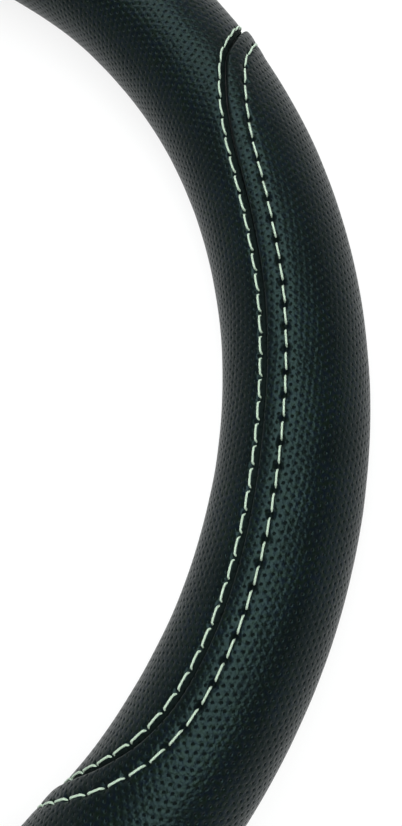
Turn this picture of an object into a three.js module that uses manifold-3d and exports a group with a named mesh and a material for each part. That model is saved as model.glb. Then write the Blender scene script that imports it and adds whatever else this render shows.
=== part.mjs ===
// A steering wheel cover: perforated leather sewn and bonded over a moulded rubber ring.
// It lies face up on its back. X points to 3 o'clock, Y to 12 o'clock and Z up, in millimetres.
// The origin is under the middle of its outline, on the surface that it lies on.
import * as THREE from 'three';
import { mergeVertices } from 'three/addons/utils/BufferGeometryUtils.js';
import Module from 'manifold-3d';

const wasm = await Module();
wasm.setup();

// The ring and its padded grip.
const RING_RADIUS = 174;
const GRIP_RADIUS = 19.4;
const GRIP_TAPER = 1.16;
const REST_FLAT_DEPTH = 0.35;

// The layers of the wall, from the outside in.
const LEATHER = 1.9;
const LOWER_PANEL_RISE = 0.5;
const BOND_GAP = 0.3;
const RUBBER = 2.2;
const RIB_HEIGHT = 0.7;

// The lips of the C section, as angles about the grip's own centre. Zero is the outer side of the ring,
// 90 the face, 180 the inner side and -90 the back.
const BACK_LIP_ANGLE = -94;
const INNER_LIP_ANGLE = 204;
const FLAT_END_ANGLE = -81;
const HEM = 6;

// The seam, the lower panel's raised folded edge and the two rows of stitches, measured across the join
// towards the lower panel.
const JOIN_GAP = 0.3;
const FOLD_RISE = 0.55;
const FOLD_SHOULDER = 0.6;
const UPPER_ROW = -1.65;
const LOWER_ROW = 5.1;
const THREAD_RADIUS = 0.42;
const THREAD_CLEARANCE = 0.3;
const UPPER_PITCH = 5.6;
const LOWER_PITCH = 5.85;
const STITCH_CROWN = 0.2;
const STITCH_DIP = -0.4;
const SEAM_START = 6.5;
const UPPER_ROW_START = 7;
const LOWER_ROW_START = 5.05;
const ROW_END_MARGIN = 3;

// Facets: around the ring, around the grip, on a turned edge and along a seam.
const RING_FACETS = 48;
const GRIP_STEP = 20;
const TURN_FACETS = 2;
const SEAM_STEP = 6;
const THREAD_SIDES = 4;
const STEPS_PER_STITCH = 2;

// The right-hand seam's route over the grip, from behind the back lip over the outer edge, along the face
// and over the inner edge. Each pair is the angle around the ring from 3 o'clock towards 12, and the angle
// around the grip. Both ends overrun the lips, so that the join parts the whole wall.
const ROUTE_OVERRUN = 20;
const SEAM_ROUTE = [
  [35.8, BACK_LIP_ANGLE - ROUTE_OVERRUN],
  [35.2, -55], [34.3, 0], [33, 32], [31.55, 54.5], [29.75, 73.6], [25.3, 93.8], [20.9, 103.1],
  [14.1, 107.8], [7.1, 109.7], [0, 111.9], [-6, 112.8], [-16, 111.2], [-22, 110.9], [-27, 113.2],
  [-31, 119.8], [-35.4, 136], [-38.5, 154.5], [-41, 174], [-43, 196],
  [-44.5, INNER_LIP_ANGLE + ROUTE_OVERRUN],
];
const ROUTE_SAMPLES = 600;

// How far a cutting shape stands out of what it cuts, and how close two corners are to be one.
const CUT_MARGIN = 1;
const SAME_POINT = 1e-4;

// The outline's middle lies off the ring's centre, because the grip is slimmer at 12 o'clock.
const RING_CENTRE_Y = GRIP_TAPER + LOWER_PANEL_RISE / 2;

const LEATHER_COLOUR = 0x15181a;
const RUBBER_COLOUR = 0x1b1b1c;
const THREAD_COLOUR = 0xc9cbb8;

// A leather panel's turned edge wraps the rubber, so its far side lies this deep.
const HEM_DEPTH = 2 * LEATHER + 2 * BOND_GAP + RUBBER;

function gripRadius(clock) {
  return GRIP_RADIUS - GRIP_TAPER * Math.sin(clock);
}

// The point at an angle around the ring and an angle around the grip, so deep under the surface.
function gripPoint(clock, around, depth) {
  const radius = gripRadius(clock) - depth;
  const reach = RING_RADIUS + radius * Math.cos(around);
  const centreHeight = gripRadius(clock) - REST_FLAT_DEPTH;
  const height = centreHeight + radius * Math.sin(around);
  return new THREE.Vector3(reach * Math.cos(clock), reach * Math.sin(clock), height);
}

function turned(flip, a, b, c) {
  return flip ? [a, c, b] : [a, b, c];
}

// A closed surface through rings of points. An open row of rings gets a flat cap at each end. The
// diagonals on both sides of a thin section run the same way, so that its walls never cross.
function loft(rings, wraps) {
  const sides = rings[0].length;
  const points = rings.flat();
  const faces = [];
  const spans = wraps ? rings.length : rings.length - 1;
  for (let i = 0; i < spans; i += 1) {
    const here = i * sides;
    const next = ((i + 1) % rings.length) * sides;
    for (let j = 0; j < sides; j += 1) {
      const k = (j + 1) % sides;
      const low = Math.min(j, k);
      const high = Math.max(j, k);
      const flip = k < j;
      faces.push(...turned(flip, here + low, next + low, next + high));
      faces.push(...turned(flip, here + low, next + high, here + high));
    }
  }
  if (!wraps) {
    const last = (rings.length - 1) * sides;
    for (let j = 1; j < sides - 1; j += 1) {
      faces.push(0, j, j + 1);
      faces.push(last, last + j + 1, last + j);
    }
  }
  const geometry = new THREE.BufferGeometry().setFromPoints(points);
  geometry.setIndex(faces);
  return faceOutward(geometry);
}

function signedVolume(geometry) {
  const position = geometry.attributes.position;
  const index = geometry.index;
  const a = new THREE.Vector3();
  const b = new THREE.Vector3();
  const c = new THREE.Vector3();
  let sum = 0;
  for (let i = 0; i < index.count; i += 3) {
    a.fromBufferAttribute(position, index.getX(i));
    b.fromBufferAttribute(position, index.getX(i + 1));
    c.fromBufferAttribute(position, index.getX(i + 2));
    sum += a.dot(b.cross(c)) / 6;
  }
  return sum;
}

function faceOutward(geometry) {
  if (signedVolume(geometry) < 0) {
    geometry.index.array.reverse();
  }
  return geometry;
}

function mirrored(geometry) {
  return faceOutward(geometry.clone().scale(-1, 1, 1));
}

function toSolid(geometry) {
  const bare = geometry.clone();
  bare.deleteAttribute('normal');
  bare.deleteAttribute('uv');
  const merged = mergeVertices(bare, SAME_POINT);
  return new wasm.Manifold(new wasm.Mesh({
    numProp: 3,
    vertProperties: new Float32Array(merged.attributes.position.array),
    triVerts: new Uint32Array(merged.index.array),
  }));
}

function toGeometry(solid) {
  const mesh = solid.getMesh();
  const geometry = new THREE.BufferGeometry();
  geometry.setAttribute('position', new THREE.BufferAttribute(mesh.vertProperties, 3));
  geometry.setIndex(new THREE.BufferAttribute(mesh.triVerts, 1));
  return geometry;
}

// Points of a half turn about a lip, from one depth to another, bulging past the lip's angle.
function turnedEdge(lip, direction, fromDepth, toDepth) {
  const middle = (fromDepth + toDepth) / 2;
  const radius = (toDepth - fromDepth) / 2;
  const points = [];
  for (let k = 1; k < TURN_FACETS + 1; k += 1) {
    const turn = Math.PI * k / (TURN_FACETS + 1);
    const past = direction * Math.abs(radius) * Math.sin(turn);
    points.push({ angle: lip, past, depth: middle - radius * Math.cos(turn) });
  }
  return points;
}

function arcAngles() {
  const angles = [BACK_LIP_ANGLE, FLAT_END_ANGLE];
  const steps = Math.ceil((INNER_LIP_ANGLE - FLAT_END_ANGLE) / GRIP_STEP);
  for (let k = 1; k <= steps; k += 1) {
    angles.push(FLAT_END_ANGLE + (INNER_LIP_ANGLE - FLAT_END_ANGLE) * k / steps);
  }
  return angles;
}

function arc(depth) {
  return arcAngles().map((angle) => ({ angle, past: 0, depth }));
}

// A leather panel's section: over the outside, round each lip and a short way back inside.
function leatherSection(rise) {
  const face = HEM_DEPTH - LEATHER;
  return [
    ...arc(-rise),
    ...turnedEdge(INNER_LIP_ANGLE, 1, 0, HEM_DEPTH),
    { angle: INNER_LIP_ANGLE, past: 0, depth: HEM_DEPTH },
    { angle: INNER_LIP_ANGLE, past: -HEM, depth: HEM_DEPTH },
    { angle: INNER_LIP_ANGLE, past: -HEM, depth: face },
    { angle: INNER_LIP_ANGLE, past: 0, depth: face },
    ...turnedEdge(INNER_LIP_ANGLE, 1, face, LEATHER),
    ...arc(LEATHER).reverse(),
    ...turnedEdge(BACK_LIP_ANGLE, -1, LEATHER, face),
    { angle: BACK_LIP_ANGLE, past: 0, depth: face },
    { angle: BACK_LIP_ANGLE, past: HEM, depth: face },
    { angle: BACK_LIP_ANGLE, past: HEM, depth: HEM_DEPTH },
    { angle: BACK_LIP_ANGLE, past: 0, depth: HEM_DEPTH },
    ...turnedEdge(BACK_LIP_ANGLE, -1, HEM_DEPTH, 0),
  ];
}

// The rubber's section: a C with round lips, and low ribs along its inside that grip the wheel.
function rubberSection() {
  const outside = LEATHER + BOND_GAP;
  const inside = outside + RUBBER;
  const hemmed = THREE.MathUtils.radToDeg(HEM / (GRIP_RADIUS - HEM_DEPTH)) + GRIP_STEP;
  const ribbed = arcAngles().reverse().map((angle, k) => {
    const clearOfHems = angle >= BACK_LIP_ANGLE + hemmed && angle <= INNER_LIP_ANGLE - hemmed;
    const rib = clearOfHems && k % 2 === 0 ? RIB_HEIGHT : 0;
    return { angle, past: 0, depth: inside + rib };
  });
  return [
    ...arc(outside),
    ...turnedEdge(INNER_LIP_ANGLE, 1, outside, inside),
    ...ribbed,
    ...turnedEdge(BACK_LIP_ANGLE, -1, inside, outside),
  ];
}

// A section carried round the ring, pressed flat where it would reach under the surface that it lies on.
function ringOf(section) {
  const rings = [];
  for (let i = 0; i < RING_FACETS; i += 1) {
    const clock = 2 * Math.PI * i / RING_FACETS;
    rings.push(section.map(({ angle, past, depth }) => {
      const around = THREE.MathUtils.degToRad(angle) + past / (gripRadius(clock) - depth);
      const point = gripPoint(clock, around, depth);
      point.z = Math.max(point.z, 0);
      return point;
    }));
  }
  return loft(rings, true);
}

// A line over the grip's surface, measured by its own length.
class SurfaceLine {
  constructor(stations) {
    this.stations = stations;
    this.lengths = [0];
    for (let i = 1; i < stations.length; i += 1) {
      const from = gripPoint(stations[i - 1].clock, stations[i - 1].around, 0);
      const to = gripPoint(stations[i].clock, stations[i].around, 0);
      this.lengths.push(this.lengths[i - 1] + from.distanceTo(to));
    }
    this.length = this.lengths[stations.length - 1];
  }

  // Where the line is at a distance along it, and the surface direction towards the lower panel.
  at(distance) {
    let i = 1;
    while (i < this.stations.length - 1 && this.lengths[i] < distance) {
      i += 1;
    }
    const a = this.stations[i - 1];
    const b = this.stations[i];
    const share = (distance - this.lengths[i - 1]) / (this.lengths[i] - this.lengths[i - 1]);
    const clock = a.clock + (b.clock - a.clock) * share;
    const around = a.around + (b.around - a.around) * share;
    const radius = gripRadius(clock);
    const reach = RING_RADIUS + radius * Math.cos(around);
    const along = (b.clock - a.clock) * reach;
    const over = (b.around - a.around) * radius;
    const size = Math.hypot(along, over);
    return { clock, around, acrossClock: -over / size / reach, acrossAround: along / size / radius };
  }

  point(distance, across, lift) {
    const here = this.at(distance);
    const clock = here.clock + across * here.acrossClock;
    const around = here.around + across * here.acrossAround;
    return gripPoint(clock, around, -lift);
  }

  offset(across) {
    const stations = [];
    for (let i = 0; i <= ROUTE_SAMPLES; i += 1) {
      const here = this.at(this.length * i / ROUTE_SAMPLES);
      const clock = here.clock + across * here.acrossClock;
      const around = here.around + across * here.acrossAround;
      stations.push({ clock, around });
    }
    return new SurfaceLine(stations);
  }

  // The distance at which the line first reaches an angle around the grip.
  distanceAt(angle) {
    const around = THREE.MathUtils.degToRad(angle);
    return this.lengths[this.stations.findIndex((station) => station.around >= around)];
  }
}

function seamLine() {
  const curve = new THREE.CatmullRomCurve3(SEAM_ROUTE.map(([clock, around]) => (
    new THREE.Vector3(clock, around, 0)
  )));
  return new SurfaceLine(curve.getPoints(ROUTE_SAMPLES).map(({ x, y }) => (
    { clock: THREE.MathUtils.degToRad(x), around: THREE.MathUtils.degToRad(y) }
  )));
}

// A solid with a constant section of [across, lift] points along a line on the grip.
function sweep(line, section, from = 0, to = line.length, step = SEAM_STEP) {
  const rings = [];
  const steps = Math.ceil((to - from) / step);
  for (let i = 0; i <= steps; i += 1) {
    const distance = from + (to - from) * i / steps;
    rings.push(section.map(([across, lift]) => line.point(distance, across, lift)));
  }
  return loft(rings, false);
}

function box(fromAcross, toAcross, fromLift, toLift) {
  return [[fromAcross, fromLift], [toAcross, fromLift], [toAcross, toLift], [fromAcross, toLift]];
}

const SEAM = seamLine();
const UPPER_LINE = SEAM.offset(UPPER_ROW);
const LOWER_LINE = SEAM.offset(LOWER_ROW);
const PROUD = LOWER_PANEL_RISE + FOLD_RISE + CUT_MARGIN;
const THREAD_ROOM = THREAD_RADIUS + THREAD_CLEARANCE;

// One row of thread: it starts past the flat that the cover lies on, and ends short of the inner lip.
function rowLayout(line, start, pitch) {
  const from = line.distanceAt(FLAT_END_ANGLE) + start;
  const room = line.distanceAt(INNER_LIP_ANGLE) - ROW_END_MARGIN - from;
  const stitches = Math.floor(room / pitch);
  return { line, pitch, from, stitches, to: from + stitches * pitch };
}

const UPPER_LAYOUT = rowLayout(UPPER_LINE, UPPER_ROW_START, UPPER_PITCH);
const LOWER_LAYOUT = rowLayout(LOWER_LINE, LOWER_ROW_START, LOWER_PITCH);

// A sewn thread: it rises over each stitch and dips at each needle hole.
class ThreadLine extends THREE.Curve {
  constructor(layout, surfaceLift) {
    super();
    this.layout = layout;
    this.surfaceLift = surfaceLift;
  }

  getPoint(t) {
    const { line, from, to, stitches } = this.layout;
    const phase = (t * stitches) % 1;
    const nearHole = Math.min(phase, 1 - phase) < 0.5 / STEPS_PER_STITCH;
    const lift = this.surfaceLift + (nearHole ? STITCH_DIP : STITCH_CROWN);
    return line.point(from + (to - from) * t, 0, lift);
  }

  // Steps are even in t, so that every step keeps its place in its stitch.
  getUtoTmapping(u) {
    return u;
  }
}

function thread(layout, surfaceLift) {
  const section = new THREE.Shape();
  for (let k = 0; k < THREAD_SIDES; k += 1) {
    const turn = 2 * Math.PI * k / THREAD_SIDES;
    const place = [THREAD_RADIUS * Math.cos(turn), THREAD_RADIUS * Math.sin(turn)];
    if (k === 0) {
      section.moveTo(...place);
    } else {
      section.lineTo(...place);
    }
  }
  const geometry = new THREE.ExtrudeGeometry(section, {
    extrudePath: new ThreadLine(layout, surfaceLift),
    steps: layout.stitches * STEPS_PER_STITCH,
    bevelEnabled: false,
  });
  geometry.deleteAttribute('normal');
  geometry.deleteAttribute('uv');
  return faceOutward(mergeVertices(geometry, SAME_POINT));
}

// The room for a row of thread, from one side of it to the other, down to below its needle holes.
function threadRoom(layout, surfaceLift, fromAcross, toAcross) {
  const floor = surfaceLift + STITCH_DIP - THREAD_ROOM;
  const section = box(fromAcross, toAcross, floor, PROUD);
  const { line, pitch } = layout;
  return sweep(line, section, layout.from - pitch, layout.to + pitch, pitch);
}

// The cut that parts the two panels, through the whole wall.
function joinCut() {
  return sweep(SEAM, box(-JOIN_GAP / 2, JOIN_GAP / 2, -HEM_DEPTH - CUT_MARGIN, PROUD));
}

// The lower panel's edge, folded under along the seam, stands up as a rounded strip.
function foldedEdge() {
  const top = LOWER_PANEL_RISE + FOLD_RISE;
  const from = SEAM.distanceAt(FLAT_END_ANGLE) + SEAM_START;
  return sweep(SEAM, [
    [0, -LEATHER / 2],
    [LOWER_ROW, -LEATHER / 2],
    [LOWER_ROW, LOWER_PANEL_RISE],
    [LOWER_ROW - THREAD_ROOM - FOLD_SHOULDER, top],
    [FOLD_SHOULDER, top],
    [0, LOWER_PANEL_RISE],
  ], from, SEAM.distanceAt(INNER_LIP_ANGLE));
}

function eachSide(geometry) {
  return [toSolid(geometry), toSolid(mirrored(geometry))];
}

function without(solid, geometry) {
  return eachSide(geometry).reduce((rest, cutter) => rest.subtract(cutter), solid);
}

function withBoth(solid, geometry) {
  return eachSide(geometry).reduce((sum, extra) => sum.add(extra), solid);
}

// A cut ring falls into two panels, one on each side of 3 and 9 o'clock.
function panelOf(ring, side) {
  return ring.decompose().find((piece) => {
    const { min, max } = piece.boundingBox();
    return Math.sign(min[1] + max[1]) === side;
  });
}

// The upper panel's edge is rolled down into the join, and its thread lies on the rolled edge.
function upperPanel() {
  const ring = without(toSolid(ringOf(leatherSection(0))), joinCut());
  const ledge = threadRoom(UPPER_LAYOUT, 0, -THREAD_ROOM, LOWER_ROW - UPPER_ROW);
  return toGeometry(without(panelOf(ring, 1), ledge));
}

// The lower panel's thread lies in a valley behind the folded edge.
function lowerPanel() {
  const folded = withBoth(toSolid(ringOf(leatherSection(LOWER_PANEL_RISE))), foldedEdge());
  const panel = panelOf(without(folded, joinCut()), -1);
  return toGeometry(without(panel, threadRoom(LOWER_LAYOUT, LOWER_PANEL_RISE, -THREAD_ROOM, THREAD_ROOM)));
}

const leather = new THREE.MeshStandardMaterial({ color: LEATHER_COLOUR, roughness: 0.6, metalness: 0 });
const rubber = new THREE.MeshStandardMaterial({ color: RUBBER_COLOUR, roughness: 0.8, metalness: 0 });
const cotton = new THREE.MeshStandardMaterial({ color: THREAD_COLOUR, roughness: 0.7, metalness: 0 });

const cover = new THREE.Group();

function addPart(name, geometry, material) {
  const mesh = new THREE.Mesh(geometry, material);
  mesh.name = name;
  cover.add(mesh);
}

const upperThread = thread(UPPER_LAYOUT, 0);
const lowerThread = thread(LOWER_LAYOUT, LOWER_PANEL_RISE);

addPart('rubber_liner', ringOf(rubberSection()), rubber);
addPart('upper_panel', upperPanel(), leather);
addPart('lower_panel', lowerPanel(), leather);
addPart('right_seam_upper_thread', upperThread, cotton);
addPart('right_seam_lower_thread', lowerThread, cotton);
addPart('left_seam_upper_thread', mirrored(upperThread), cotton);
addPart('left_seam_lower_thread', mirrored(lowerThread), cotton);
cover.position.y = RING_CENTRE_Y;

export default cover;
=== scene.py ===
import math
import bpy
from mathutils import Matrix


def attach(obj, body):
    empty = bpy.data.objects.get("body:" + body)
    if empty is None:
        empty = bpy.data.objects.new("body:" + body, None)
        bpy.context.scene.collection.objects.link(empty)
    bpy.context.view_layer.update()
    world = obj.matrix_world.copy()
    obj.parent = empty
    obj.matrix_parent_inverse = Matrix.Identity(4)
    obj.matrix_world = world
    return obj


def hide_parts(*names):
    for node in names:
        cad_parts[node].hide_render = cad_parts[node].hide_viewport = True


bl_info = {
    "name": "Steering wheel cover",
    "version": (1, 0, 0),
    "blender": (4, 5, 0),
    "location": "3D View > Sidebar > Wheel cover",
    "description": "Perforated leather panels, stitches and rubber ring of a steering wheel cover",
    "category": "Object",
}

import bpy
import numpy as np
from bpy.props import FloatProperty, FloatVectorProperty, PointerProperty
from bpy.types import Operator, Panel, PropertyGroup
from mathutils import Matrix, Vector, noise
from mathutils.geometry import delaunay_2d_cdt

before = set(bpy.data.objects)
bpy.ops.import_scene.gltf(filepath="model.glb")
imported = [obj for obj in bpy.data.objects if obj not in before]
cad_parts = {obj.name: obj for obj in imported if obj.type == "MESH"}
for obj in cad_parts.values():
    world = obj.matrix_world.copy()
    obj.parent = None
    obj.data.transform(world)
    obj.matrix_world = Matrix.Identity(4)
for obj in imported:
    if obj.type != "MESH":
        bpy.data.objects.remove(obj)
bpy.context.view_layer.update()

# Geometry is worked out in millimetres, as the part's source has it, and stored in metres.
MM = 1000.0

# The right-hand seam's route, as the part's source has it: the angle around the ring from 3 o'clock
# towards 12, and the angle around the grip.
ROUTE_OVERRUN = 20.0
SEAM_ROUTE = [
    (35.2, -55), (34.3, 0), (33, 32), (31.55, 54.5), (29.75, 73.6), (25.3, 93.8), (20.9, 103.1),
    (14.1, 107.8), (7.1, 109.7), (0, 111.9), (-6, 112.8), (-16, 111.2), (-22, 110.9), (-27, 113.2),
    (-31, 119.8), (-35.4, 136), (-38.5, 154.5), (-41, 174), (-43, 196),
]
ROUTE_START_CLOCK = 35.8
ROUTE_END_CLOCK = -44.5
ROUTE_SAMPLES = 600

# Starts of the stitch rows past the flat on the back, and the margin before the inner lip.
UPPER_ROW_START = 7.0
LOWER_ROW_START = 5.05
ROW_END_MARGIN = 3.0

# The leather's surface across the join: distance from the join, and how far it stands off the ring.
UPPER_PROFILE = [
    (0.15, -1.0), (0.35, -0.85), (0.6, -0.68), (0.9, -0.52), (1.2, -0.38), (1.65, -0.2), (2.1, -0.06),
    (2.8, 0.06), (4.0, 0.09), (6.0, 0.03), (8.0, 0.0), (10.0, 0.0),
]
LOWER_PROFILE = [
    (0.15, -1.1), (0.3, -0.25), (0.5, 0.3), (0.8, 0.5), (1.2, 0.56), (1.8, 0.58), (2.6, 0.57),
    (3.4, 0.52), (4.2, 0.4), (4.7, 0.26), (5.1, 0.14), (5.5, 0.26), (6.0, 0.34), (7.0, 0.27),
    (8.5, 0.12), (10.0, 0.0),
]
UPPER_OFFSETS = [
    0.15, 0.25, 0.38, 0.55, 0.75, 1.0, 1.3, 1.5, 1.65, 1.8, 2.0, 2.3, 2.7, 3.2, 3.9, 4.8, 6.0, 7.5, 9.0,
]
LOWER_OFFSETS = [
    0.15, 0.25, 0.38, 0.55, 0.75, 1.0, 1.4, 2.0, 2.7, 3.4, 4.0, 4.4, 4.7, 4.9, 5.1, 5.3, 5.5, 5.8, 6.2,
    6.8, 7.6, 8.7, 10.0,
]

# Steps along the seam, and how far its strip goes on past a lip, against the skin that lies past it.
STATION_STEP = 0.6
STRIP_SPARE = 2.2

# The mesh size away from the seam, and the room in cells that is left to the strip and to the far edge.
CELL = 2.1
STRIP_ROOM = 0.75
FAR_ROOM = 0.6

# The least room between a corner and the hem's edge, and the share of the profile that the hem keeps.
HEM_MARGIN = 0.3
HEM_LIFT = 0.35

# One needle hole's dent in the leather: depth, and its spread along and across the row.
UPPER_DENT = (0.8, 0.42, 0.42)
LOWER_DENT = (1.1, 0.65, 0.52)

# The join's painted shade: its width on the upper and the lower panel, each with where it has faded out.
UPPER_SHADE = (1.25, 1.7)
LOWER_SHADE = (0.25, 0.6)

# A needle hole's painted shade: its peak, and what is taken off.
DENT_SHADE = (1.9, 0.6)

# The leather's slow waves: their height, and for a long and a short wave its size along the ring and
# around the grip, its layer of the noise and its share. Near the join they calm down to a least share.
WAVE_HEIGHT = 0.13
WAVES = ((26.0, 15.0, 7.0, 1.0), (9.0, 7.0, 3.0, 0.45))
CALM_START = 3.0
CALM_WIDTH = 6.0
CALM_LEAST = 0.3

# The perforation on the flat hide: two neighbours of a hole, along the ring towards 12 and outwards, and
# the pitch that the hole's size is taken against.
UPPER_LATTICE = ((2.3, 0.27), (0.66, 1.76))
LOWER_LATTICE = ((2.17, 0.26), (0.86, 1.7))
PERFORATION_PITCH = 2.0

# The panels' lay-out for baking: blocks under each other, spare room, and for the hidden faces their
# length, the start of their strip and its height.
BAKE_BLOCKS = 3
BAKE_SPARE = 1.06
HIDDEN_LENGTH = 0.9
HIDDEN_START = 0.955
HIDDEN_HEIGHT = 0.035

# The leather's finish: depth of the holes, of the dimples round them and of the grain, in millimetres,
# and its refractive index.
HOLE_DEPTH = 0.24
DIMPLE_DEPTH = 0.05
GRAIN_DEPTH = 0.055
LEATHER_IOR = 1.25

# How many times as pale as the rubber its dusty bloom is.
BLOOM = 1.9

# The rubber ring: its stations, its section's step and where its ribs are, in degrees around the grip.
RING_STATIONS = 168
SECTION_STEP = 4.0
LIP_STEPS = 7
RIB_ANGLES = (128.0, 90.0, 52.0, 14.0, -24.0)
RIB_SPREAD = 15.0

# How a row's thread lies: its height, its crown and its dip, how far from a hole it starts to dive, its
# slant and its bow.
UPPER_THREAD = (-0.1, 0.13, 2.3, 0.95, 0.1, 0.2)
LOWER_THREAD = (0.66, 0.08, 2.6, 1.35, 0.1, 0.05)

# How much of a stitch its slant takes up, and how far from a hole it has faded out.
SLANT_SHARE = 0.94
SLANT_FADE = 0.5

# The thread itself: its mesh's sides and step, its plies and the length of their turn. Its middle and the
# plies' swing are shares of its radius.
THREAD_SIDES = 12
THREAD_STEP = 0.3
THREAD_PLIES = 3
THREAD_TWIST = 3.4
THREAD_MIDDLE = 0.93
PLY_SWING = 0.10

# The stage, in metres: half the floor's side and how white it looks, and the wall round it.
FLOOR_HALF = 9.0
FLOOR_WHITE = 0.86
BACKDROP_RADIUS = 8.5
BACKDROP_HEIGHT = 3.0
BACKDROP_SIDES = 64
STAGE_COLOUR = (0.93, 0.94, 0.95, 1.0)
WHITE = (1.0, 1.0, 1.0, 1.0)
ROOM_COLOUR = (0.93, 0.97, 1.0, 1.0)
LIGHT_COLOUR = (0.97, 1.0, 0.98)

# Each light's place, target and size.
OVERHEAD_LIGHT = ((0.18, 0.08, 0.75), (0.18, 0.08, 0.0), (0.4, 1.15))
FAR_LIGHT = ((-0.33, 0.90, 0.75), (0.06, 0.16, 0.04), (0.5, 0.6))


def length(name, description, default):
    return FloatProperty(name=name, description=description, default=default, unit="LENGTH", precision=5)


def angle(name, description, degrees):
    return FloatProperty(
        name=name, description=description, default=math.radians(degrees), subtype="ANGLE")


def colour(name, description, value):
    return FloatVectorProperty(
        name=name, description=description, subtype="COLOR", size=4, default=(*value, 1.0), min=0.0,
        max=1.0)


def watts(name, description, default):
    return FloatProperty(name=name, description=description, default=default, unit="POWER")


def vector(name, description, subtype, default):
    return FloatVectorProperty(name=name, description=description, subtype=subtype, size=3, default=default)


class CoverSizes(PropertyGroup):
    ring_radius: length("Ring radius", "From the ring's centre to the middle of the grip", 0.174)
    grip_radius: length("Grip radius", "Radius of the grip at 3 and 9 o'clock", 0.0194)
    grip_taper: length(
        "Grip taper", "How much slimmer the grip is at 12 o'clock, and thicker at 6", 0.00116)
    rest_flat_depth: length(
        "Rest flat depth", "How far the back is pressed flat by what it lies on", 0.00035)
    back_lip: angle("Back lip", "Angle around the grip of the lip on the back", -94)
    inner_lip: angle("Inner lip", "Angle around the grip of the lip on the inner side", 204)
    flat_end: angle("Flat end", "Angle around the grip where the flat on the back ends", -81)
    leather: length("Leather", "Thickness of the foam-backed leather", 0.0019)
    lower_rise: length("Lower panel rise", "How far the lower panel stands over the upper one", 0.0005)
    bond_gap: length("Bond gap", "Room between the leather and the rubber", 0.0003)
    rubber: length("Rubber", "Thickness of the rubber ring's wall", 0.0022)
    rib_height: length("Rib height", "Height of the ribs inside the rubber ring", 0.0007)
    hem: length("Hem", "How far the leather reaches back inside a lip", 0.006)
    upper_row: length("Upper row", "From the join to the upper panel's stitches", 0.00165)
    lower_row: length("Lower row", "From the join to the lower panel's stitches", 0.0051)
    upper_pitch: length("Upper stitch", "Stitch length on the upper panel", 0.0056)
    lower_pitch: length("Lower stitch", "Stitch length on the lower panel", 0.00585)
    thread_radius: length("Thread radius", "Radius of the sewing thread", 0.0003)
    hole: length("Hole", "Diameter of a hole of the perforation", 0.00056)


class CoverColours(PropertyGroup):
    leather: colour("Leather", "Colour of the leather", (0.0018, 0.0028, 0.0032))
    leather_warm: colour(
        "Leather, greener", "The greener shade that the leather drifts to", (0.0032, 0.0062, 0.0030))
    leather_cool: colour(
        "Leather, bluer", "The bluer shade that the leather drifts to", (0.0023, 0.0042, 0.0095))
    # The hole colour is painted shade: the holes, the join and the needle dents are darkened to it.
    hole: colour("Hole", "Colour inside the holes", (0.0008, 0.001, 0.0011))
    gloss: colour("Gloss", "Tint of the leather's soft gloss", (0.58, 1.0, 0.96))
    rubber: colour("Rubber", "Colour of the rubber ring", (0.016, 0.016, 0.017))
    thread: colour("Thread", "Colour of the stitches", (0.52, 0.63, 0.54))
    # Painted shade between the thread's plies, and the tone of its darker fibres.
    thread_tone_and_painted_shade: colour("Thread, shaded", "Colour between the thread's plies", (0.26, 0.36, 0.24))


class CoverStage(PropertyGroup):
    camera_place: vector("Camera", "Where the camera is", "TRANSLATION", (0.17105, -0.047765, 0.229983))
    camera_right: vector(
        "Camera right", "Direction to the picture's right", "DIRECTION", (0.9947, 0.02073, -0.10044))
    camera_up: vector("Camera up", "Direction to the picture's top", "DIRECTION", (0.0, 0.97937, 0.20228))
    lens: FloatProperty(
        name="Lens", description="Focal length on a 36 mm sensor", default=34.867, unit="CAMERA")
    overhead: watts("Overhead light", "Power of the light above the face", 10.2)
    far: watts("Far light", "Power of the light beyond 12 o'clock", 5.0)
    surround: FloatProperty(
        name="Surround", description="Strength of the room's light", default=0.025, min=0.0)


def sizes():
    return bpy.context.scene.cover_sizes


def colours():
    return bpy.context.scene.cover_colours


def smooth(t):
    t = np.clip(t, 0.0, 1.0)
    return t * t * (3.0 - 2.0 * t)


class Grip:
    """The cover's skin unrolled: clock is the angle around the ring, arc the way around the section."""

    def __init__(self):
        size = sizes()
        self.ring = size.ring_radius * MM
        self.grip = size.grip_radius * MM
        self.taper = size.grip_taper * MM
        self.flat = size.rest_flat_depth * MM
        self.leather = size.leather * MM
        self.rise = size.lower_rise * MM
        self.gap = size.bond_gap * MM
        self.rubber = size.rubber * MM
        self.hem = size.hem * MM
        self.edge = self.leather + self.gap + self.rubber / 2
        self.low_lip = size.back_lip * self.grip
        self.high_lip = size.inner_lip * self.grip
        self.beyond = math.pi * self.edge + self.hem
        self.low_end = self.low_lip - self.beyond
        self.high_end = self.high_lip + self.beyond
        self.centre_y = self.taper + self.rise / 2

    def radius(self, clock):
        return self.grip - self.taper * np.sin(clock)

    def reach(self, clock, around):
        return self.ring + self.radius(clock) * np.cos(around)

    def past_lip(self, arc):
        return np.maximum(np.maximum(arc - self.high_lip, self.low_lip - arc), 0.0)

    def place(self, clock, arc, lift):
        """Points in millimetres. Past a lip the skin turns about the wall's middle and runs back inside."""
        radius = self.radius(clock)
        over = self.past_lip(arc)
        side = np.where(arc > 0, 1.0, -1.0)
        turn = np.clip(over / self.edge, 0.0, math.pi)
        back = np.maximum(over - math.pi * self.edge, 0.0)
        bulge = self.edge + lift
        depth = self.edge - bulge * np.cos(turn)
        past = bulge * np.sin(turn) - back
        out = radius - depth
        around = np.clip(arc, self.low_lip, self.high_lip) / self.grip + side * past / out
        reach = self.ring + out * np.cos(around)
        height = np.maximum(radius - self.flat + out * np.sin(around), 0.0)
        return np.stack([reach * np.cos(clock), reach * np.sin(clock) + self.centre_y, height], axis=-1)


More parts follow.
